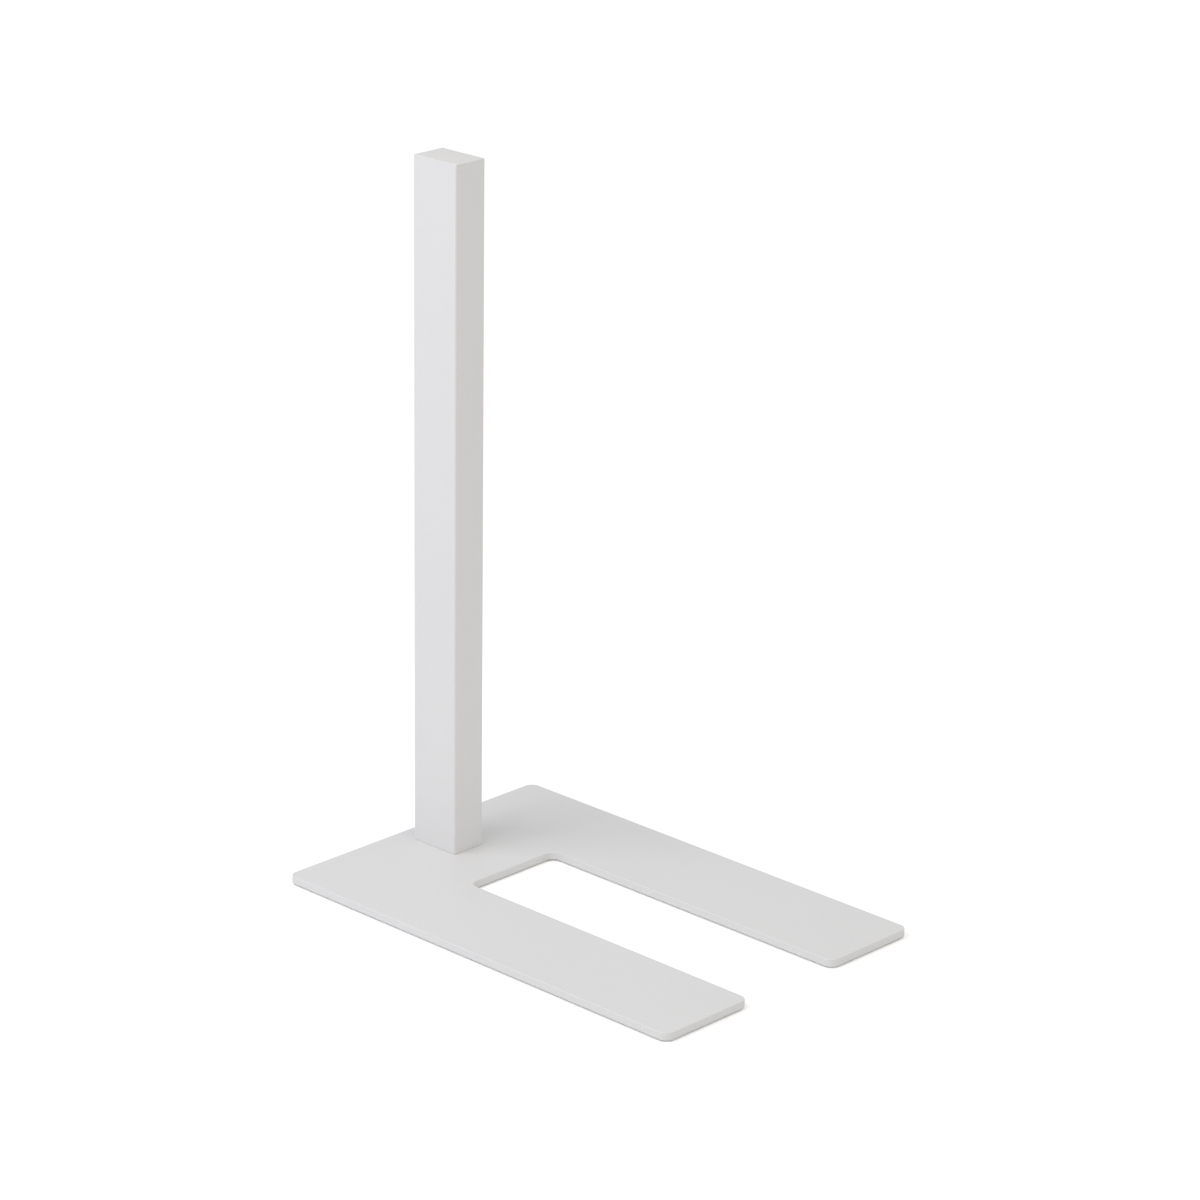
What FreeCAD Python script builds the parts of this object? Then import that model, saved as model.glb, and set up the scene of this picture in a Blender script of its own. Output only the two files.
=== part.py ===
"""Floor stand of a partition wall: a rectangular steel post on a U-shaped steel floor plate.

The row frame has +Z up and its origin on the floor, in the middle of the plate's outline. The legs of the
plate point along -Y, and the post stands on the web, at the +Y end. All sizes are in millimetres.
The plate lies on six thin rubber pads. A tapped steel insert is welded into the foot of the post, and two
countersunk screws hold it to the plate from below. A ribbed plastic cap closes the post at the top.
"""

import FreeCAD, Part
import os
import Sketcher

SHEET = "sizes"
TOLERANCE = 1.0e-6

# The driving dimensions, as alias: (value, what it is).
SIZES = {
    "plate_length": (525.0, "plate, front to back"),
    "plate_width": (350.0, "plate, side to side"),
    "plate_thickness": (8.0, "plate"),
    "plate_corner": (10.0, "radius of every corner of the plate's outline"),
    "plate_top_round": (0.8, "rounding along the plate's upper edges"),
    "plate_bottom_round": (0.6, "rounding along the plate's lower edges"),
    "slot_width": (120.0, "gap between the legs, which takes a leg of the next stand"),
    "web_depth": (145.0, "web, from the back edge to the end of the slot"),
    "post_depth": (60.0, "tube, along Y"),
    "post_width": (40.0, "tube, along X"),
    "post_wall": (1.5, "tube wall"),
    "post_corner": (2.0, "outer corner radius of the tube"),
    "post_inner_corner": (0.5, "inner corner radius of the tube"),
    "post_foot_round": (0.5, "rounding round the foot of the tube"),
    "post_setback": (22.0, "back edge of the plate to the back of the post"),
    "total_height": (735.0, "floor to the top of the cap"),
    "insert_thickness": (12.0, "tapped insert"),
    "insert_play": (0.1, "gap between the insert and the tube, all round"),
    "screw_pitch": (30.0, "distance between the two screws"),
    "thread_size": (8.0, "outside diameter of the M8 thread"),
    "tapped_size": (8.04, "diameter of the tapped holes at the root of their thread"),
    "screw_hole": (8.4, "clearance hole in the plate"),
    "screw_length": (20.0, "screw, with its head"),
    "head_size": (16.0, "screw head"),
    "head_land": (0.4, "cylindrical rim of the screw head"),
    "head_depth": (4.4, "screw head, with its rim"),
    "head_sunk": (0.5, "screw head below the underside of the plate"),
    "sink_size": (18.0, "countersink at the underside of the plate"),
    "socket_size": (5.0, "hexagon socket, across its flats"),
    "socket_depth": (2.8, "hexagon socket"),
    "thread_chamfer": (1.0, "chamfer at the end of the thread"),
    "cap_flange": (2.5, "flange of the cap"),
    "cap_round": (1.2, "rounding round the top of the cap"),
    "cap_plug_gap": (2.0, "tube wall to the plug of the cap, all round"),
    "cap_plug_wall": (1.8, "wall of the plug"),
    "cap_plug_length": (20.0, "plug, below the flange"),
    "rib_gap": (0.1, "tube wall to the ribs of the cap, all round"),
    "rib_thickness": (1.0, "rib of the cap"),
    "rib_count": (4.0, "ribs of the cap"),
    "rib_first": (3.0, "flange to the first rib"),
    "rib_span": (13.5, "first rib to the last rib"),
    "pad_size": (22.0, "diameter of a floor pad"),
    "pad_thickness": (1.5, "floor pad, which lifts the plate off the floor"),
    "pad_round": (0.4, "rounding round the bottom of a floor pad"),
    "pad_inset": (24.0, "edge of the plate to the middle of a floor pad"),
}

# The rows of floor pads, from the post to the ends of the legs, and the Y of each in terms of the sheet.
PAD_ROWS = {
    "rear": "sizes.plate_length / 2 - sizes.pad_inset",
    "middle": "sizes.plate_length / 2 - sizes.web_depth",
    "tip": "sizes.pad_inset - sizes.plate_length / 2",
}
SIDES = {"left": -1, "right": 1}
ENDS = {"front": -1, "rear": 1}

POST_Y = "(sizes.plate_length / 2 - sizes.post_setback - sizes.post_depth / 2)"
PLATE_TOP = "(sizes.pad_thickness + sizes.plate_thickness)"
TUBE_LENGTH = "(sizes.total_height - sizes.cap_flange - sizes.pad_thickness - sizes.plate_thickness)"


def make_sheet(doc):
    """The driving dimensions, one to a row."""
    sheet = doc.addObject("Spreadsheet::Sheet", SHEET)
    for row, (alias, (value, meaning)) in enumerate(SIZES.items(), start=1):
        sheet.set(f"A{row}", meaning)
        sheet.set(f"B{row}", str(value))
        sheet.setAlias(f"B{row}", alias)
    doc.recompute()
    return sheet


def new_body(doc, label, **place):
    """A body whose place along x, y and z is given as expressions of the sheet."""
    body = doc.addObject("PartDesign::Body", label)
    body.Label = label
    for axis, expression in place.items():
        body.setExpression(f"Placement.Base.{axis}", expression)
    return body


def origin_feature(body, role):
    """A plane or axis of the body's own origin."""
    return next(feature for feature in body.Origin.OriginFeatures if feature.Role == role)


def new_sketch(body, name, plane="XY_Plane", lift=None):
    """A sketch on one of the body's origin planes, lifted off it by an expression of the sheet."""
    sketch = body.newObject("Sketcher::SketchObject", name)
    sketch.AttachmentSupport = [(origin_feature(body, plane), "")]
    sketch.MapMode = "FlatFace"
    if lift:
        sketch.setExpression("AttachmentOffset.Base.z", lift)
    return sketch


def bind(sketch, constraint, expression):
    """Adds a named dimension to the sketch and binds it to the sheet."""
    kind, name, *where = constraint
    index = sketch.addConstraint(Sketcher.Constraint(kind, *where, 1.0))
    sketch.renameConstraint(index, name)
    sketch.setExpression(f"Constraints.{name}", expression)


def add_loop(sketch, points):
    """Adds a closed loop of lines through the points and gives the index of the first line."""
    first = sketch.GeometryCount
    count = len(points)
    corners = [FreeCAD.Vector(x, y, 0) for x, y in points]
    for i, corner in enumerate(corners):
        sketch.addGeometry(Part.LineSegment(corner, corners[(i + 1) % count]), False)
    for i in range(count):
        following = first + (i + 1) % count
        sketch.addConstraint(Sketcher.Constraint("Coincident", first + i, 2, following, 1))
    return first


def square_up(sketch, lines):
    """Holds lines level or upright, whichever they were drawn."""
    for line in lines:
        segment = sketch.Geometry[line]
        level = abs(segment.StartPoint.y - segment.EndPoint.y) < TOLERANCE
        sketch.addConstraint(Sketcher.Constraint("Horizontal" if level else "Vertical", line))


def add_rectangle(sketch, name, width, depth):
    """A rectangle about the sketch's origin, its width and depth bound to the sheet."""
    corners = [(-20.0, -30.0), (20.0, -30.0), (20.0, 30.0), (-20.0, 30.0)]
    first = add_loop(sketch, corners)
    square_up(sketch, range(first, first + 4))
    sketch.addConstraint(Sketcher.Constraint("Symmetric", first, 1, first + 1, 2, -1, 1))
    bind(sketch, ("DistanceX", f"{name}_width", first, 1, first, 2), width)
    bind(sketch, ("DistanceY", f"{name}_depth", first + 1, 1, first + 1, 2), depth)


def extrude(body, kind, name, sketch, length, reverse=False):
    """A Pad or Pocket of the sketch, whose length is an expression of the sheet."""
    feature = body.newObject(f"PartDesign::{kind}", name)
    feature.Profile = sketch
    feature.setExpression("Length", length)
    feature.Reversed = reverse
    body.Document.recompute()
    return feature


def round_edges(body, name, radius, wanted):
    """Rounds the edges of the body's tip for which wanted(edge) holds."""
    base = body.Tip
    names = [f"Edge{i}" for i, edge in enumerate(base.Shape.Edges, start=1) if wanted(edge)]
    feature = body.newObject("PartDesign::Fillet", name)
    feature.Base = (base, names)
    feature.setExpression("Radius", radius)
    body.Document.recompute()
    return feature


def is_upright(edge):
    """True for a straight edge along Z."""
    box = edge.BoundBox
    return box.ZLength > TOLERANCE and box.XLength + box.YLength < TOLERANCE


def is_at_height(height):
    """A test for edges that lie in the level plane at that height, in the body's own frame."""

    def wanted(edge):
        box = edge.BoundBox
        return abs(box.ZMin - height) < TOLERANCE and box.ZLength < TOLERANCE

    return wanted


def make_base_plate(doc, sheet):
    """The U-shaped floor plate, with two countersunk holes under the post."""
    body = new_body(doc, "base_plate", z="sizes.pad_thickness")
    outline = new_sketch(body, "plate_outline")
    corners = [
        (-175.0, 262.0), (175.0, 262.0), (175.0, -262.0), (60.0, -262.0),
        (60.0, 117.0), (-60.0, 117.0), (-60.0, -262.0), (-175.0, -262.0),
    ]
    add_loop(outline, corners)
    square_up(outline, (0, 1, 2, 3, 5, 6, 7))
    outline.addConstraint(Sketcher.Constraint("Symmetric", 0, 1, 1, 2, -1, 1))
    outline.addConstraint(Sketcher.Constraint("Symmetric", 4, 1, 4, 2, -2))
    outline.addConstraint(Sketcher.Constraint("Horizontal", 2, 2, 6, 1))
    bind(outline, ("DistanceX", "plate_width", 0, 1, 0, 2), "sizes.plate_width")
    bind(outline, ("DistanceY", "plate_length", 1, 2, 1, 1), "sizes.plate_length")
    bind(outline, ("DistanceX", "slot_width", 4, 2, 4, 1), "sizes.slot_width")
    bind(outline, ("DistanceY", "web_depth", 3, 2, 0, 2), "sizes.web_depth")
    extrude(body, "Pad", "plate", outline, "sizes.plate_thickness")
    round_edges(body, "plate_corners", "sizes.plate_corner", is_upright)
    round_edges(body, "plate_top_edges", "sizes.plate_top_round", is_at_height(sheet.plate_thickness))
    round_edges(body, "plate_bottom_edges", "sizes.plate_bottom_round", is_at_height(0.0))

    places = new_sketch(body, "screw_places")
    for i, sign in enumerate(ENDS.values()):
        places.addGeometry(Part.Circle(FreeCAD.Vector(0, 180 + 15 * sign, 0), FreeCAD.Vector(0, 0, 1), 4.2))
        places.addConstraint(Sketcher.Constraint("PointOnObject", i, 3, -2))
        bind(places, ("DistanceY", f"place_{i}", -1, 1, i, 3), f"{POST_Y} + {sign} * sizes.screw_pitch / 2")
        bind(places, ("Diameter", f"hole_{i}", i), "sizes.screw_hole")
    doc.recompute()
    holes = body.newObject("PartDesign::Hole", "screw_holes")
    holes.Profile = places
    holes.Reversed = True
    holes.DepthType = "ThroughAll"
    holes.HoleCutType = "Countersink"
    holes.HoleCutCustomValues = True
    holes.HoleCutCountersinkAngle = 90
    holes.setExpression("Diameter", "sizes.screw_hole")
    holes.setExpression("HoleCutDiameter", "sizes.sink_size")
    doc.recompute()
    return body


def make_post_tube(doc, sheet):
    """The rectangular steel tube, standing on the plate."""
    body = new_body(doc, "post_tube", y=POST_Y, z=PLATE_TOP)
    outside = new_sketch(body, "tube_outside")
    add_rectangle(outside, "tube", "sizes.post_width", "sizes.post_depth")
    extrude(body, "Pad", "tube_blank", outside, TUBE_LENGTH)
    round_edges(body, "tube_corners", "sizes.post_corner", is_upright)
    round_edges(body, "tube_foot", "sizes.post_foot_round", is_at_height(0.0))
    inside = new_sketch(body, "tube_inside")
    wall = "2 * sizes.post_wall"
    add_rectangle(inside, "bore", f"sizes.post_width - {wall}", f"sizes.post_depth - {wall}")
    extrude(body, "Pocket", "tube_bore", inside, TUBE_LENGTH, reverse=True)
    bore_reach = sheet.post_width / 2 - sheet.post_wall

    def is_bore_corner(edge):
        return is_upright(edge) and abs(abs(edge.BoundBox.Center.x) - bore_reach) < TOLERANCE

    round_edges(body, "tube_inner_corners", "sizes.post_inner_corner", is_bore_corner)
    return body


def make_foot_insert(doc):
    """The steel block welded into the foot of the tube, with the two tapped holes."""
    body = new_body(doc, "foot_insert", y=POST_Y, z=PLATE_TOP)
    outline = new_sketch(body, "insert_outline")
    inset = "2 * (sizes.post_wall + sizes.insert_play)"
    add_rectangle(outline, "insert", f"sizes.post_width - {inset}", f"sizes.post_depth - {inset}")
    extrude(body, "Pad", "insert_blank", outline, "sizes.insert_thickness")
    round_edges(body, "insert_corners", "sizes.post_inner_corner", is_upright)
    places = new_sketch(body, "tap_places")
    for i, sign in enumerate(ENDS.values()):
        places.addGeometry(Part.Circle(FreeCAD.Vector(0, 15 * sign, 0), FreeCAD.Vector(0, 0, 1), 4.0))
        bind(places, ("Diameter", f"tap_{i}", i), "sizes.tapped_size")
    places.addConstraint(Sketcher.Constraint("PointOnObject", 0, 3, -2))
    places.addConstraint(Sketcher.Constraint("Symmetric", 0, 3, 1, 3, -1, 1))
    bind(places, ("DistanceY", "tap_pitch", 0, 3, 1, 3), "sizes.screw_pitch")
    extrude(body, "Pocket", "taps", places, "sizes.insert_thickness", reverse=True)
    return body


def make_foot_screw(doc, label, sign):
    """An M8 countersunk socket screw, pointing up, on one side of the post's axis."""
    body = new_body(
        doc, label, y=f"{POST_Y} + {sign} * sizes.screw_pitch / 2", z="sizes.pad_thickness + sizes.head_sunk"
    )
    profile = new_sketch(body, f"{label}_profile", "XZ_Plane")
    corners = [(0.0, 0.0), (8.0, 0.0), (8.0, 0.4), (4.0, 4.4), (4.0, 19.0), (3.0, 20.0), (0.0, 20.0)]
    add_loop(profile, corners)
    square_up(profile, (0, 1, 3, 5, 6))
    profile.addConstraint(Sketcher.Constraint("Coincident", 0, 1, -1, 1))
    bind(profile, ("DistanceX", "head_radius", 0, 1, 0, 2), "sizes.head_size / 2")
    bind(profile, ("DistanceY", "head_land", 1, 1, 1, 2), "sizes.head_land")
    bind(profile, ("DistanceY", "head_depth", 0, 1, 2, 2), "sizes.head_depth")
    bind(profile, ("DistanceX", "thread_radius", 0, 1, 3, 1), "sizes.thread_size / 2")
    bind(profile, ("DistanceY", "screw_length", 0, 1, 5, 2), "sizes.screw_length")
    bind(profile, ("DistanceY", "end_height", 3, 2, 4, 2), "sizes.thread_chamfer")
    bind(profile, ("DistanceX", "end_depth", 4, 2, 3, 2), "sizes.thread_chamfer")
    turned = body.newObject("PartDesign::Revolution", f"{label}_turned")
    turned.Profile = profile
    turned.ReferenceAxis = (profile, ["V_Axis"])
    turned.Angle = 360
    doc.recompute()

    hexagon = new_sketch(body, f"{label}_hexagon")
    corners = [(-1.4, -2.5), (1.4, -2.5), (2.9, 0.0), (1.4, 2.5), (-1.4, 2.5), (-2.9, 0.0)]
    add_loop(hexagon, corners)
    for side in (0, 3):
        hexagon.addConstraint(Sketcher.Constraint("Symmetric", side, 1, side, 2, -2))
    hexagon.addConstraint(Sketcher.Constraint("Symmetric", 1, 2, 4, 2, -2))
    hexagon.addConstraint(Sketcher.Constraint("PointOnObject", 1, 2, -1))
    hexagon.addConstraint(Sketcher.Constraint("Equal", 0, 3))
    bind(hexagon, ("DistanceY", "across_flats", 0, 2, 3, 1), "sizes.socket_size")
    bind(hexagon, ("DistanceY", "half_across_flats", -1, 1, 3, 1), "sizes.socket_size / 2")
    bind(hexagon, ("DistanceX", "one_side", 0, 1, 0, 2), "sizes.socket_size / sqrt(3)")
    bind(hexagon, ("DistanceX", "across_corners", 4, 2, 1, 2), "2 * sizes.socket_size / sqrt(3)")
    extrude(body, "Pocket", f"{label}_socket", hexagon, "sizes.socket_depth", reverse=True)
    return body


def make_post_cap(doc, sheet):
    """The plastic cap: a flange as large as the tube, and a ribbed hollow plug inside it."""
    body = new_body(doc, "post_cap", y=POST_Y, z="sizes.total_height - sizes.cap_flange")
    flange = new_sketch(body, "flange_outline")
    add_rectangle(flange, "flange", "sizes.post_width", "sizes.post_depth")
    extrude(body, "Pad", "flange", flange, "sizes.cap_flange")
    round_edges(body, "flange_corners", "sizes.post_corner", is_upright)
    round_edges(body, "flange_top", "sizes.cap_round", is_at_height(sheet.cap_flange))

    plug_inset = "2 * (sizes.post_wall + sizes.cap_plug_gap)"
    hollow_inset = "2 * (sizes.post_wall + sizes.cap_plug_gap + sizes.cap_plug_wall)"
    plug = new_sketch(body, "plug_outline")
    add_rectangle(plug, "plug", f"sizes.post_width - {plug_inset}", f"sizes.post_depth - {plug_inset}")
    extrude(body, "Pad", "plug", plug, "sizes.cap_plug_length", reverse=True)

    rib_inset = "2 * (sizes.post_wall + sizes.rib_gap)"
    rib = new_sketch(body, "rib_outline", lift="-sizes.rib_first")
    add_rectangle(rib, "rib", f"sizes.post_width - {rib_inset}", f"sizes.post_depth - {rib_inset}")
    first = extrude(body, "Pad", "rib", rib, "sizes.rib_thickness", reverse=True)
    ribs = body.newObject("PartDesign::LinearPattern", "ribs")
    ribs.Originals = [first]
    ribs.Direction = (origin_feature(body, "Z_Axis"), [""])
    ribs.Reversed = True
    ribs.setExpression("Length", "sizes.rib_span")
    ribs.setExpression("Occurrences", "sizes.rib_count")
    body.Tip = ribs
    doc.recompute()
    plug_reach = sheet.post_width / 2 - sheet.post_wall - sheet.cap_plug_gap

    def is_rib_corner(edge):
        box = edge.BoundBox
        return is_upright(edge) and box.ZMax < 0 and min(abs(box.XMin), abs(box.XMax)) > plug_reach + 1.0

    round_edges(body, "rib_corners", "sizes.post_inner_corner", is_rib_corner)

    hollow = new_sketch(body, "hollow_outline")
    add_rectangle(hollow, "hollow", f"sizes.post_width - {hollow_inset}", f"sizes.post_depth - {hollow_inset}")
    extrude(body, "Pocket", "hollow", hollow, "sizes.cap_plug_length")
    return body


def make_floor_pad(doc, label, side, along):
    """A round rubber pad, stuck under the plate."""
    across = f"{side} * (sizes.plate_width / 2 - sizes.pad_inset)"
    body = new_body(doc, label, x=across, y=along)
    disc = new_sketch(body, f"{label}_outline")
    disc.addGeometry(Part.Circle(FreeCAD.Vector(0, 0, 0), FreeCAD.Vector(0, 0, 1), 11.0))
    disc.addConstraint(Sketcher.Constraint("Coincident", 0, 3, -1, 1))
    bind(disc, ("Diameter", "pad_size", 0), "sizes.pad_size")
    extrude(body, "Pad", f"{label}_disc", disc, "sizes.pad_thickness")
    round_edges(body, f"{label}_rim", "sizes.pad_round", is_at_height(0.0))
    return body


def make_parts(doc):
    """Every sub-part of the stand."""
    sheet = make_sheet(doc)
    parts = [
        make_base_plate(doc, sheet),
        make_post_tube(doc, sheet),
        make_foot_insert(doc),
        make_post_cap(doc, sheet),
    ]
    for end, sign in ENDS.items():
        parts.append(make_foot_screw(doc, f"foot_screw_{end}", sign))
    for row, along in PAD_ROWS.items():
        for side, sign in SIDES.items():
            parts.append(make_floor_pad(doc, f"floor_pad_{row}_{side}", sign, along))
    doc.recompute()
    return parts


def check(doc, parts):
    """Stops if an object failed to recompute or a sub-part isn't one sound solid."""
    for item in doc.Objects:
        if "Invalid" in item.State or "Error" in item.State:
            raise RuntimeError(f"{item.Label} failed: {item.State}")
    for part in parts:
        shape = part.Shape
        if shape.isNull() or not shape.isValid() or len(shape.Solids) != 1:
            raise RuntimeError(f"{part.Label} is not one valid solid")
        box = shape.BoundBox
        print(
            f"{part.Label}: {shape.Volume:.0f} mm3, x {box.XMin:.2f} to {box.XMax:.2f}, "
            f"y {box.YMin:.2f} to {box.YMax:.2f}, z {box.ZMin:.2f} to {box.ZMax:.2f}"
        )


def main():
    """Builds the document, checks it and writes one STEP file to each sub-part."""
    doc = FreeCAD.newDocument("partition_wall_stand")
    parts = make_parts(doc)
    check(doc, parts)
    os.makedirs("parts", exist_ok=True)
    for part in parts:
        part.Shape.exportStep(f"parts/{part.Label}.step")


main()
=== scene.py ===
"""Looks of the partition wall stand: a powder-coated post on a U-shaped floor plate, in a white studio.

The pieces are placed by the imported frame's boxes, and the studio by the foot of the post. Lengths are in
metres, and a number times MM is a length in millimetres.
"""

import math

import bmesh
import bpy
from mathutils import Matrix, Vector


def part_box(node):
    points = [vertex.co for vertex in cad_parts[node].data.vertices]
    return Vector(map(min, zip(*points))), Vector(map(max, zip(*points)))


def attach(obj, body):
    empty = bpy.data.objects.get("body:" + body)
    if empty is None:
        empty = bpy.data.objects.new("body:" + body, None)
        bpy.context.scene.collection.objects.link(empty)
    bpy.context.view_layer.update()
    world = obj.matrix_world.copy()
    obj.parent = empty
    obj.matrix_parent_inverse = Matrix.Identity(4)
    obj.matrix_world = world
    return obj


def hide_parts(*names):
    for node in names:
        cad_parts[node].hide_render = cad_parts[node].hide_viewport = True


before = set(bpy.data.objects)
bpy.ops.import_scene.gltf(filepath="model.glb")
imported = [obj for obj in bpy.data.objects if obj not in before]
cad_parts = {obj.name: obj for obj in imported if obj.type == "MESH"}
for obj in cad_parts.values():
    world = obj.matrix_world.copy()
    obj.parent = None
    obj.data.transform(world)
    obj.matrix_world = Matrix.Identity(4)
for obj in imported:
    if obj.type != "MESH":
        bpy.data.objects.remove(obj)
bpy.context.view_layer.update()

MM = 0.001
QUARTER = math.pi / 2
FULL_TURN = 2 * math.pi

# The plate and the tube, where the frame's boxes don't give them.
PLATE_CORNER = 10.0 * MM
PLATE_TOP_ROUND = 0.8 * MM
PLATE_BOTTOM_ROUND = 0.6 * MM
SLOT_WIDTH = 120.0 * MM
WEB_DEPTH = 145.0 * MM
SINK_RADIUS = 9.0 * MM
SCREW_HOLE_RADIUS = 4.2 * MM
TUBE_WALL = 1.5 * MM
TUBE_CORNER = 2.0 * MM
TUBE_INNER_CORNER = 0.5 * MM
TUBE_FOOT_ROUND = 0.5 * MM
TUBE_TOP_ROUND = 0.2 * MM

# The cap. A rib slopes out to its tip over a height of CAP_RIB_OUT, and back above it over CAP_RIB_IN.
CAP_FLANGE = 2.5 * MM
CAP_FLANGE_BREAK = 0.1 * MM
CAP_ROUND = 1.2 * MM
CAP_CROWN = 0.35 * MM
CAP_CROWN_SHARES = (0.3, 0.5, 0.7, 0.9)
CAP_LEAST_CORNER = 0.5 * MM
CAP_PLUG_INSET = TUBE_WALL + 2.0 * MM
CAP_PLUG_WALL = 1.8 * MM
CAP_RIBS = 4
CAP_RIB_INSET = TUBE_WALL + 0.1 * MM
CAP_RIB_FIRST = 3.0 * MM
CAP_RIB_STEP = 4.5 * MM
CAP_RIB_THICKNESS = 1.0 * MM
CAP_RIB_OUT = CAP_RIB_THICKNESS / 2
CAP_RIB_IN = CAP_RIB_THICKNESS / 4

# The screws. The socket ends in the cone of the drill that it was started with.
HEAD_LAND = 0.4 * MM
HEAD_CHAMFER = 0.25 * MM
HEAD_DEPTH = 4.4 * MM
SOCKET_APOTHEM = 2.5 * MM
SOCKET_MOUTH = 2.96 * MM
SOCKET_DEPTH = 2.8 * MM
SOCKET_DRILL_RADIUS = 0.98 * SOCKET_APOTHEM
SOCKET_POINT = 0.7 * MM
SOCKET_POINT_RADIUS = 0.05 * MM
THREAD_RADIUS = 4.0 * MM
THREAD_DEPTH = 0.68 * MM
THREAD_PITCH = 1.25 * MM
THREAD_START = 5.4 * MM
THREAD_END_CHAMFER = 0.9 * MM
THREAD_FLANK_SLOPE = 1.35
THREAD_CREST = 0.2

# The floor pads. A groove's section is a list of points: how far each is from the groove's middle, in half
# widths of the groove, and how deep it is, in depths of the groove.
PAD_MIDDLE = 1.0 * MM
PAD_ROUND = 0.4 * MM
PAD_GROOVES = 3
PAD_GROOVE_DEPTH = 0.25 * MM
PAD_GROOVE_WIDTH = 0.9 * MM
PAD_GROOVE_SECTION = ((-1.0, 0.0), (-0.5, 1.0), (0.5, 1.0), (1.0, 0.0))
PAD_TOP_BREAK = 0.1 * MM
PAD_TAPE = 0.25 * MM
PAD_TAPE_INSET = 0.2 * MM

# How finely curves are cut up, and how edges are shaded. The angles are in degrees.
ROUND_STEPS = 8
TUBE_TOP_STEPS = 3
CORNER_STEPS = 16
CIRCLE_STEPS = 96
THREAD_STEPS_PER_TURN = 16
SHARP_ANGLE = 35.0
SCREW_SHARP_ANGLE = 25.0
FLAT_FACE_WEIGHT = 100


# ---------------------------------------------------------------- outlines and lofts


def middle(node):
    """The middle of a CAD node's box."""
    low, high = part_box(node)
    return (low + high) / 2


def rectangle(low, high):
    """The corners of a rectangle, anticlockwise."""
    places = [(low.x, low.y), (high.x, low.y), (high.x, high.y), (low.x, high.y)]
    return [Vector(place) for place in places]


def rounded_outline(corners, radius, inset, steps):
    """Points along an anticlockwise outline whose square corners are arcs, moved inward by inset.

    The arc of a corner that points outward shrinks with the inset, and that of one that points inward grows.
    """
    points = []
    count = len(corners)
    for i, corner in enumerate(corners):
        way_in = (corner - corners[i - 1]).normalized()
        way_out = (corners[(i + 1) % count] - corner).normalized()
        points_outward = way_in.cross(way_out) > 0
        reach = radius - inset if points_outward else radius + inset
        centre = corner - way_in * radius + way_out * radius
        for step in range(steps + 1):
            angle = QUARTER * step / steps
            points.append(centre + (way_in * math.sin(angle) - way_out * math.cos(angle)) * reach)
    return points


def outline_ring(corners, radius, inset, steps, height):
    """The points of a rounded outline, at one height."""
    outline = rounded_outline(corners, radius, inset, steps)
    return [Vector((point.x, point.y, height)) for point in outline]


def circle_ring(centre, radius, height):
    """A ring of points round a vertical axis. radius and height are lengths, or functions of the angle."""
    ring = []
    for step in range(CIRCLE_STEPS):
        angle = FULL_TURN * step / CIRCLE_STEPS
        reach = radius(angle) if callable(radius) else radius
        level = height(angle) if callable(height) else height
        ring.append(Vector((centre.x + reach * math.cos(angle), centre.y + reach * math.sin(angle), level)))
    return ring


def round_profile(radius, steps=ROUND_STEPS):
    """(inset, drop) pairs along a quarter round, from the side of a piece to its flat."""
    profile = []
    for step in range(steps + 1):
        angle = QUARTER * step / steps
        profile.append((radius * (1.0 - math.cos(angle)), radius * (1.0 - math.sin(angle))))
    return profile


def loft(rings, closed=False):
    """A mesh through rings of equally many points, with its ends filled, or joined up if closed."""
    mesh = bmesh.new()
    loops = [[mesh.verts.new(point) for point in ring] for ring in rings]
    pairs = list(zip(loops, loops[1:]))
    if closed:
        pairs.append((loops[-1], loops[0]))
    for lower, upper in pairs:
        for i in range(len(lower)):
            following = (i + 1) % len(lower)
            mesh.faces.new((lower[i], lower[following], upper[following], upper[i]))
    if not closed:
        mesh.faces.new(list(reversed(loops[0])))
        mesh.faces.new(loops[-1])
    bmesh.ops.recalc_face_normals(mesh, faces=mesh.faces)
    return mesh


# ---------------------------------------------------------------- objects


def make_object(name, mesh):
    """Puts an object with this mesh in the scene."""
    data = bpy.data.meshes.new(name)
    mesh.to_mesh(data)
    mesh.free()
    made = bpy.data.objects.new(name, data)
    bpy.context.scene.collection.objects.link(made)
    return made


def finish_piece(name, mesh, material, node, sharp_angle=SHARP_ANGLE):
    """Makes a piece that stands for a CAD node and rides on the root."""
    piece = make_object(name, mesh)
    piece.data.materials.append(material)
    piece.data.shade_smooth()
    piece.data.set_sharp_from_angle(angle=math.radians(sharp_angle))
    weighted = piece.modifiers.new("weighted_normals", "WEIGHTED_NORMAL")
    weighted.keep_sharp = True
    weighted.weight = FLAT_FACE_WEIGHT
    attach(piece, "root")
    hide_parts(node)


def cut_away(blank, cutter):
    """Takes the shape of the cutter out of the blank."""
    cut = blank.modifiers.new(cutter.name, "BOOLEAN")
    cut.operation = "DIFFERENCE"
    cut.solver = "EXACT"
    cut.object = cutter


def shape_of(blank):
    """The mesh that an object's modifiers make of it."""
    bpy.context.view_layer.update()
    evaluated = blank.evaluated_get(bpy.context.evaluated_depsgraph_get())
    mesh = bmesh.new()
    mesh.from_mesh(bpy.data.meshes.new_from_object(evaluated))
    return mesh


# ---------------------------------------------------------------- pieces


def plate_corners(low, high):
    """The corners of the plate's U, anticlockwise, with the legs towards -Y."""
    half_slot = SLOT_WIDTH / 2
    slot_end = high.y - WEB_DEPTH
    places = [
        (low.x, low.y), (-half_slot, low.y), (-half_slot, slot_end), (half_slot, slot_end),
        (half_slot, low.y), (high.x, low.y), (high.x, high.y), (low.x, high.y),
    ]
    return [Vector(place) for place in places]


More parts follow.
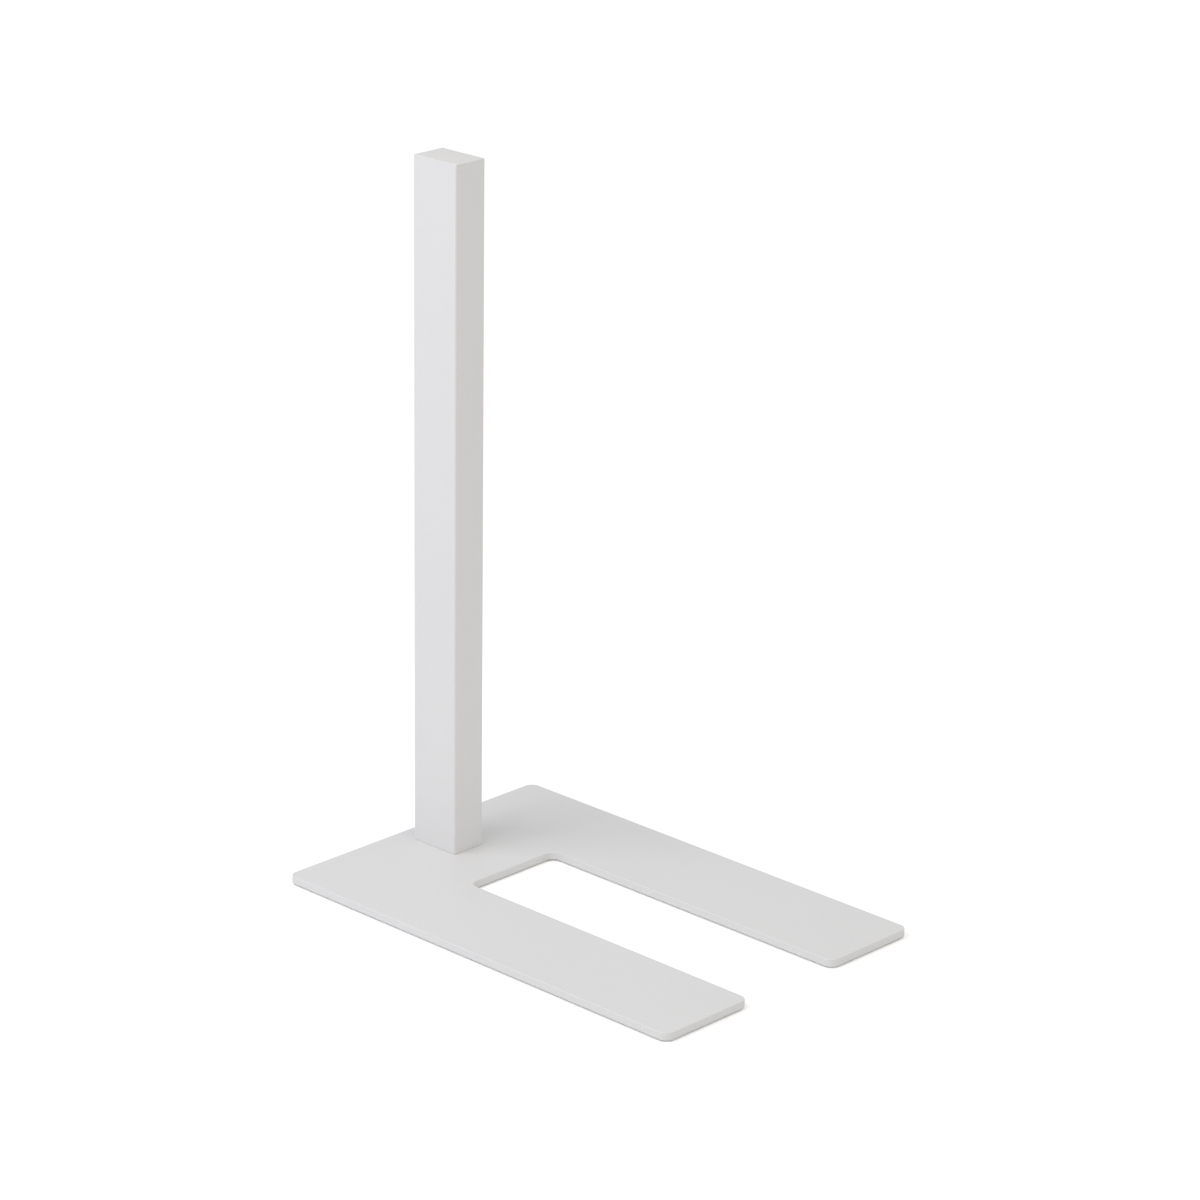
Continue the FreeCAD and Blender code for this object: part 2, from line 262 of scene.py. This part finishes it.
def screw_hole(centre, low, high):
    """The shape of a screw hole through the plate, countersunk at the bottom."""
    clear = 1.0 * MM
    sink_depth = SINK_RADIUS - SCREW_HOLE_RADIUS
    rings = [
        circle_ring(centre, SINK_RADIUS + clear, low.z - clear),
        circle_ring(centre, SCREW_HOLE_RADIUS, low.z + sink_depth),
        circle_ring(centre, SCREW_HOLE_RADIUS, high.z + clear),
    ]
    return loft(rings)


def make_base_plate(material):
    """The floor plate, with rounded edges and its two screw holes."""
    low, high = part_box("base_plate")
    corners = plate_corners(low, high)

    def ring(inset, height):
        return outline_ring(corners, PLATE_CORNER, inset, CORNER_STEPS, height)

    rings = [ring(inset, low.z + drop) for inset, drop in reversed(round_profile(PLATE_BOTTOM_ROUND))]
    rings += [ring(inset, high.z - drop) for inset, drop in round_profile(PLATE_TOP_ROUND)]
    blank = make_object("blank", loft(rings))
    cutters = []
    for node in ("foot_screw_front", "foot_screw_rear"):
        cutter = make_object(f"{node}_hole", screw_hole(middle(node), low, high))
        cut_away(blank, cutter)
        cutters.append(cutter)
    drilled = shape_of(blank)
    for leftover in (blank, *cutters):
        bpy.data.objects.remove(leftover)
    finish_piece("floor_plate", drilled, material, "base_plate")


def make_post_tube(material):
    """The rectangular tube, open at both ends."""
    low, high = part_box("post_tube")
    wall = Vector((TUBE_WALL, TUBE_WALL, 0.0))
    outside = rectangle(low, high)
    inside = rectangle(low + wall, high - wall)

    def ring(inset, height):
        return outline_ring(outside, TUBE_CORNER, inset, ROUND_STEPS, height)

    rings = [ring(inset, low.z + drop) for inset, drop in reversed(round_profile(TUBE_FOOT_ROUND))]
    rings += [ring(inset, high.z - drop) for inset, drop in round_profile(TUBE_TOP_ROUND, TUBE_TOP_STEPS)]
    for height in (high.z, low.z):
        rings.append(outline_ring(inside, TUBE_INNER_CORNER, 0.0, ROUND_STEPS, height))
    finish_piece("post", loft(rings, closed=True), material, "post_tube")


def make_post_cap(material):
    """The moulded cap: a crowned flange, and a hollow plug with ribs that taper."""
    low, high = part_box("post_cap")
    outside = rectangle(low, high)
    half_width = (high.x - low.x) / 2
    edge = high.z - CAP_CROWN
    flange_bottom = high.z - CAP_FLANGE
    plug_inner = CAP_PLUG_INSET + CAP_PLUG_WALL

    def ring(inset, height):
        corner = max(TUBE_CORNER, inset + CAP_LEAST_CORNER)
        return outline_ring(outside, corner, inset, ROUND_STEPS, height)

    rings = [ring(plug_inner, flange_bottom), ring(plug_inner, low.z), ring(CAP_PLUG_INSET, low.z)]
    for rib in reversed(range(CAP_RIBS)):
        rib_top = flange_bottom - CAP_RIB_FIRST - rib * CAP_RIB_STEP
        rib_bottom = rib_top - CAP_RIB_THICKNESS
        rings += [
            ring(CAP_PLUG_INSET, rib_bottom),
            ring(CAP_RIB_INSET, rib_bottom + CAP_RIB_OUT),
            ring(CAP_RIB_INSET, rib_top - CAP_RIB_IN),
            ring(CAP_PLUG_INSET, rib_top),
        ]
    rings += [
        ring(CAP_PLUG_INSET, flange_bottom),
        ring(CAP_FLANGE_BREAK, flange_bottom),
        ring(0.0, flange_bottom + CAP_FLANGE_BREAK),
    ]
    rings += [ring(inset, edge - drop) for inset, drop in round_profile(CAP_ROUND)]
    for share in CAP_CROWN_SHARES:
        rings.append(ring(half_width * share, high.z - CAP_CROWN * (1.0 - share) ** 2))
    finish_piece("post_end_cap", loft(rings), material, "post_cap")


def hexagon(apothem):
    """The radius of a hexagon, as a function of the angle round its middle."""
    sixth = FULL_TURN / 6

    def radius(angle):
        return apothem / math.cos((angle + sixth / 2) % sixth - sixth / 2)

    return radius


def thread(height, top):
    """The radius of the thread at one height, as a function of the angle round its axis."""
    end = THREAD_RADIUS - max(0.0, THREAD_END_CHAMFER - (top - height))

    def radius(angle):
        turn = (height / THREAD_PITCH - angle / FULL_TURN) % 1.0
        share = min(1.0, max(0.0, abs(2 * turn - 1.0) * THREAD_FLANK_SLOPE - THREAD_CREST))
        return min(THREAD_RADIUS - THREAD_DEPTH * share, end)

    return radius


def make_foot_screw(material, node):
    """A countersunk screw with a hexagon socket in its head and a cut thread, pointing up."""
    low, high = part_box(node)
    centre = middle(node)
    head = (high.x - low.x) / 2
    socket = hexagon(SOCKET_APOTHEM)
    socket_bottom = low.z + SOCKET_DEPTH
    thread_start = low.z + THREAD_START
    thread_length = high.z - thread_start
    thread_steps = round(thread_length / THREAD_PITCH * THREAD_STEPS_PER_TURN)

    def lead_in(angle):
        """The height at which the cone round the mouth of the socket meets the hexagon."""
        return low.z + SOCKET_MOUTH - socket(angle)

    rings = [
        circle_ring(centre, SOCKET_POINT_RADIUS, socket_bottom + SOCKET_POINT),
        circle_ring(centre, SOCKET_DRILL_RADIUS, socket_bottom),
        circle_ring(centre, socket, socket_bottom),
        circle_ring(centre, socket, lead_in),
        circle_ring(centre, SOCKET_MOUTH, low.z),
        circle_ring(centre, head - HEAD_CHAMFER, low.z),
        circle_ring(centre, head, low.z + HEAD_CHAMFER / 2),
        circle_ring(centre, head, low.z + HEAD_LAND),
        circle_ring(centre, THREAD_RADIUS, low.z + HEAD_DEPTH),
        circle_ring(centre, THREAD_RADIUS, thread_start),
    ]
    for step in range(1, thread_steps + 1):
        height = thread_start + thread_length * step / thread_steps
        rings.append(circle_ring(centre, thread(height, high.z), height))
    finish_piece(f"{node}_m8", loft(rings), material, node, SCREW_SHARP_ANGLE)


def make_floor_pad(material, node):
    """A round rubber pad with a rounded rim, and shallow grooves round the middle of its underside."""
    low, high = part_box(node)
    centre = middle(node)
    radius = (high.x - low.x) / 2
    flat = radius - PAD_ROUND
    tape = high.z - PAD_TAPE
    rings = [circle_ring(centre, PAD_MIDDLE, low.z)]
    for groove in range(PAD_GROOVES):
        groove_radius = flat * (groove + 1) / (PAD_GROOVES + 1)
        for reach, depth in PAD_GROOVE_SECTION:
            point_radius = groove_radius + reach * PAD_GROOVE_WIDTH / 2
            rings.append(circle_ring(centre, point_radius, low.z + depth * PAD_GROOVE_DEPTH))
    for inset, drop in reversed(round_profile(PAD_ROUND)):
        rings.append(circle_ring(centre, radius - inset, low.z + drop))
    rings += [
        circle_ring(centre, radius, tape - PAD_TOP_BREAK),
        circle_ring(centre, radius - PAD_TOP_BREAK, tape),
        circle_ring(centre, radius - PAD_TAPE_INSET, tape),
        circle_ring(centre, radius - PAD_TAPE_INSET, high.z),
    ]
    finish_piece(f"{node}_rubber", loft(rings), material, node)


# ---------------------------------------------------------------- materials

# Most of a noise texture lies between these values.
NOISE_LOW = 0.3
NOISE_HIGH = 0.7

# A Mix node's colour sockets, by number, because they share their names with its other sockets.
MIX_FIRST_COLOUR = 6
MIX_SECOND_COLOUR = 7
MIX_COLOUR = 2


class Shader:
    """A material's node tree, with short ways to add nodes and join them."""

    def __init__(self, name, **sockets):
        self.material = bpy.data.materials.new(name)
        self.material.use_nodes = True
        self.tree = self.material.node_tree
        self.surface = self.tree.nodes["Principled BSDF"]
        for socket, value in sockets.items():
            self.surface.inputs[socket.replace("_", " ")].default_value = value
        self.place = self.tree.nodes.new("ShaderNodeTexCoord").outputs["Object"]

    def feed(self, target, value):
        """Joins an input to an output of another node, or sets it to a value."""
        if isinstance(value, bpy.types.NodeSocket):
            self.tree.links.new(value, target)
        else:
            target.default_value = value

    def link(self, value, socket):
        """Joins an output to one of the surface's inputs."""
        self.tree.links.new(value, self.surface.inputs[socket])

    def node(self, kind, settings=None, **inputs):
        """Adds a node with its settings and inputs."""
        node = self.tree.nodes.new(kind)
        for setting, value in (settings or {}).items():
            setattr(node, setting, value)
        for socket, value in inputs.items():
            self.feed(node.inputs[socket.replace("_", " ")], value)
        return node

    def noise(self, scale, detail, stretch=(1.0, 1.0, 1.0)):
        """Noise with so many features to a metre."""
        place = self.node("ShaderNodeMapping", Vector=self.place, Scale=stretch).outputs["Vector"]
        return self.node("ShaderNodeTexNoise", Vector=place, Scale=scale, Detail=detail).outputs["Fac"]

    def spread(self, value, low, high, start=NOISE_LOW, end=NOISE_HIGH):
        """Maps a value between start and end onto low to high, and clips it there."""
        settings = {"clamp": True}
        inputs = {"Value": value, "From_Min": start, "From_Max": end, "To_Min": low, "To_Max": high}
        return self.node("ShaderNodeMapRange", settings, **inputs).outputs["Result"]

    def multiply(self, first, second):
        """The product of two outputs."""
        node = self.node("ShaderNodeMath", {"operation": "MULTIPLY"})
        self.feed(node.inputs[0], first)
        self.feed(node.inputs[1], second)
        return node.outputs["Value"]

    def tint(self, share, dark, light):
        """The colour that lies by this share of the way from dark to light."""
        mix = self.node("ShaderNodeMix", {"data_type": "RGBA"}, Factor=share)
        mix.inputs[MIX_FIRST_COLOUR].default_value = (*dark, 1.0)
        mix.inputs[MIX_SECOND_COLOUR].default_value = (*light, 1.0)
        return mix.outputs[MIX_COLOUR]

    def bump(self, *heights):
        """Joins up (value, height in metres) pairs as bumps, one on top of the other."""
        normal = None
        for value, height in heights:
            inputs = {"Height": value, "Distance": height}
            if normal is not None:
                inputs["Normal"] = normal
            normal = self.node("ShaderNodeBump", **inputs).outputs["Normal"]
        self.link(normal, "Normal")


def powder_coat():
    """Satin white powder coat over steel, with a fine orange peel and faint handling marks."""
    shader = Shader("powder_coat", IOR=1.5)
    cloud = shader.spread(shader.noise(scale=4.0, detail=3.0), low=0.0, high=1.0)
    smudge = shader.noise(scale=22.0, detail=4.0)
    peel = shader.noise(scale=420.0, detail=1.0)
    grain = shader.noise(scale=1900.0, detail=2.0)
    shader.link(shader.tint(cloud, dark=(0.785, 0.786, 0.789), light=(0.802, 0.802, 0.801)), "Base Color")
    shader.link(shader.spread(smudge, low=0.36, high=0.46), "Roughness")
    shader.bump((peel, 0.030 * MM), (grain, 0.012 * MM))
    return shader.material


def white_plastic():
    """Moulded white plastic with a fine spark-eroded grain."""
    shader = Shader("white_plastic", IOR=1.49)
    cloud = shader.spread(shader.noise(scale=60.0, detail=3.0), low=0.0, high=1.0)
    smudge = shader.noise(scale=90.0, detail=3.0)
    grain = shader.noise(scale=3600.0, detail=2.0)
    shader.link(shader.tint(cloud, dark=(0.770, 0.767, 0.757), light=(0.792, 0.789, 0.781)), "Base Color")
    shader.link(shader.spread(smudge, low=0.42, high=0.55), "Roughness")
    shader.bump((grain, 0.012 * MM))
    return shader.material


def plain_steel():
    """Bare steel bar with saw marks across it and a brownish mill skin."""
    shader = Shader("plain_steel", Metallic=1.0)
    skin = shader.noise(scale=180.0, detail=4.0)
    cloud = shader.spread(skin, low=0.0, high=1.0)
    saw_marks = shader.noise(scale=900.0, detail=2.0, stretch=(1.0, 0.05, 1.0))
    shader.link(shader.tint(cloud, dark=(0.30, 0.285, 0.27), light=(0.47, 0.46, 0.45)), "Base Color")
    shader.link(shader.spread(skin, low=0.32, high=0.55), "Roughness")
    shader.bump((saw_marks, 0.03 * MM))
    return shader.material


def zinc_plate():
    """Bright zinc on a screw, slightly mottled."""
    shader = Shader("zinc_plate", Metallic=1.0)
    cloud = shader.spread(shader.noise(scale=700.0, detail=3.0), low=0.0, high=1.0)
    mottle = shader.noise(scale=1200.0, detail=3.0)
    grain = shader.noise(scale=2600.0, detail=2.0)
    shader.link(shader.tint(cloud, dark=(0.56, 0.58, 0.61), light=(0.70, 0.71, 0.72)), "Base Color")
    shader.link(shader.spread(mottle, low=0.22, high=0.40), "Roughness")
    shader.bump((grain, 0.008 * MM))
    return shader.material


def pad_rubber():
    """Matt black rubber with a fine pitted skin and a little dust."""
    shader = Shader("pad_rubber", IOR=1.45)
    dust = shader.spread(shader.noise(scale=350.0, detail=4.0), low=0.0, high=1.0, start=0.45, end=0.75)
    pits = shader.noise(scale=2400.0, detail=3.0)
    shader.link(shader.tint(dust, dark=(0.016, 0.016, 0.017), light=(0.060, 0.058, 0.055)), "Base Color")
    shader.link(shader.spread(dust, low=0.70, high=0.92, start=0.0, end=1.0), "Roughness")
    shader.bump((pits, 0.05 * MM))
    return shader.material


# ---------------------------------------------------------------- studio

# The camera stands at eye height in front and to the left of the post, and looks down at the stand.
CAMERA_FROM_POST_FOOT = Vector((-2.8677, -2.9536, 1.7519))
CAMERA_TURN = math.radians(-46.287)
CAMERA_DOWN = math.radians(19.845)
CAMERA_ROLL = math.radians(0.805)
CAMERA_LENS = 129.776

FLOOR_REACH = 30.0
FLOOR_SEGMENTS = 8
FLOOR_WHITE = (0.90, 0.90, 0.90, 1.0)
FLOOR_ROUGHNESS = 0.9

# What the camera sees the floor glow by, from close to the post's foot to far from it.
GLOW_COLOUR = (1.0, 1.0, 1.0, 1.0)
GLOW_NEAR = 0.33
GLOW_FAR = 0.46
GLOW_RISE_START = 0.8
GLOW_RISE_END = 4.0

# Under the plate the floor glows by only this share of that: painted shade in the gap under the plate. The
# glow falls to it as the open share of the space within GLOW_COVER_REACH of the floor falls from GLOW_OPEN
# to GLOW_COVERED.
GLOW_UNDER_PLATE = 0.45
GLOW_COVER_REACH = 8.0 * MM
GLOW_COVER_SAMPLES = 4
GLOW_COVERED = 0.25
GLOW_OPEN = 0.45

# The light from all round, and the plain white that the camera sees there.
WORLD_COLOUR = (0.955, 0.968, 1.0, 1.0)
WORLD_LIGHT = 0.653
BACKDROP_LIGHT = 1.1

# The softboxes stand round a point a third of the way up the post and a little in front of it.
LAMP_TARGET_FROM_POST_FOOT = Vector((0.0, -0.1, 0.25))
LAMP_DISTANCE = 3.2
LAMP_SIZE = 1.6
LAMP_RISE = math.radians(45.0)

# Each softbox: its name, its turn from the front in degrees, its colour, and its power in watts.
LAMPS = (
    ("left_rear", -120.0, (1.0, 0.96, 1.0), 21.2),
    ("left", -90.0, (0.97, 1.0, 1.0), 14.0),
    ("front", 0.0, (1.0, 0.76, 0.33), 9.8),
)


def make_camera(foot):
    """The camera, placed from the foot of the post."""
    data = bpy.data.cameras.new("camera")
    data.lens = CAMERA_LENS
    camera = bpy.data.objects.new("camera", data)
    turn = Matrix.Rotation(CAMERA_TURN, 3, "Z")
    tilt = Matrix.Rotation(QUARTER - CAMERA_DOWN, 3, "X")
    roll = Matrix.Rotation(CAMERA_ROLL, 3, "Z")
    camera.matrix_world = Matrix.Translation(foot + CAMERA_FROM_POST_FOOT) @ (turn @ tilt @ roll).to_4x4()
    bpy.context.scene.collection.objects.link(camera)
    bpy.context.scene.camera = camera


def studio_white(foot):
    """The floor's matt white, glowing to the camera like a lit studio table, with painted shade under the
    plate.
    """
    sockets = {"Base_Color": FLOOR_WHITE, "Roughness": FLOOR_ROUGHNESS, "Emission_Color": GLOW_COLOUR}
    shader = Shader("studio_floor", **sockets)
    from_foot = shader.node("ShaderNodeVectorMath", {"operation": "DISTANCE"}, Vector=shader.place)
    from_foot.inputs[1].default_value = foot
    distance = from_foot.outputs["Value"]
    glow = shader.spread(distance, GLOW_NEAR, GLOW_FAR, GLOW_RISE_START, GLOW_RISE_END)
    seen = shader.node("ShaderNodeLightPath").outputs["Is Camera Ray"]
    settings = {"samples": GLOW_COVER_SAMPLES}
    space = shader.node("ShaderNodeAmbientOcclusion", settings, Distance=GLOW_COVER_REACH).outputs["AO"]
    # The glow is cut where the plate covers the floor, which paints shade into the gap under the plate.
    painted_gap_shade_mask = shader.spread(space, GLOW_UNDER_PLATE, 1.0, GLOW_COVERED, GLOW_OPEN)
    shader.link(shader.multiply(shader.multiply(glow, seen), painted_gap_shade_mask), "Emission Strength")
    return shader.material


def make_floor(foot):
    """A large plain floor."""
    mesh = bmesh.new()
    bmesh.ops.create_grid(mesh, x_segments=FLOOR_SEGMENTS, y_segments=FLOOR_SEGMENTS, size=FLOOR_REACH)
    floor = make_object("studio_floor", mesh)
    floor.data.materials.append(studio_white(foot))


def make_world():
    """Even light from all round, in front of a plain white backdrop."""
    world = bpy.data.worlds.new("studio")
    world.use_nodes = True
    tree = world.node_tree
    background = tree.nodes["Background"]
    background.inputs["Color"].default_value = WORLD_COLOUR
    strength = tree.nodes.new("ShaderNodeMapRange")
    strength.inputs["To Min"].default_value = WORLD_LIGHT
    strength.inputs["To Max"].default_value = BACKDROP_LIGHT
    seen = tree.nodes.new("ShaderNodeLightPath").outputs["Is Camera Ray"]
    tree.links.new(seen, strength.inputs["Value"])
    tree.links.new(strength.outputs["Result"], background.inputs["Strength"])
    bpy.context.scene.world = world


def make_lamps(foot):
    """The softboxes, each turned towards the same point."""
    target = foot + LAMP_TARGET_FROM_POST_FOOT
    for name, turn, colour, power in LAMPS:
        data = bpy.data.lights.new(name, "AREA")
        data.shape = "SQUARE"
        data.size = LAMP_SIZE
        data.color = colour
        data.energy = power
        side = math.radians(turn)
        level = math.cos(LAMP_RISE)
        way = Vector((math.sin(side) * level, -math.cos(side) * level, math.sin(LAMP_RISE)))
        lamp = bpy.data.objects.new(name, data)
        lamp.location = target + way * LAMP_DISTANCE
        lamp.rotation_euler = way.to_track_quat("Z", "Y").to_euler()
        bpy.context.scene.collection.objects.link(lamp)


def set_picture():
    """Plain colours with no film look."""
    bpy.context.scene.view_settings.view_transform = "Standard"
    bpy.context.scene.view_settings.look = "None"


# ---------------------------------------------------------------- the scene


def make_studio():
    """The camera, the floor, the backdrop and the lights."""
    post = middle("post_tube")
    plate_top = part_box("base_plate")[1].z
    foot = Vector((post.x, post.y, plate_top))
    make_camera(foot)
    make_floor(foot)
    make_world()
    make_lamps(foot)
    set_picture()


def make_pieces():
    """Every piece of the stand. The insert is hidden in the post and keeps its CAD shape."""
    coat = powder_coat()
    make_base_plate(coat)
    make_post_tube(coat)
    make_post_cap(white_plastic())
    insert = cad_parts["foot_insert"].data
    insert.materials.clear()
    insert.materials.append(plain_steel())
    zinc = zinc_plate()
    rubber = pad_rubber()
    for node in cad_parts:
        if node.startswith("foot_screw"):
            make_foot_screw(zinc, node)
        if node.startswith("floor_pad"):
            make_floor_pad(rubber, node)


make_studio()
make_pieces()
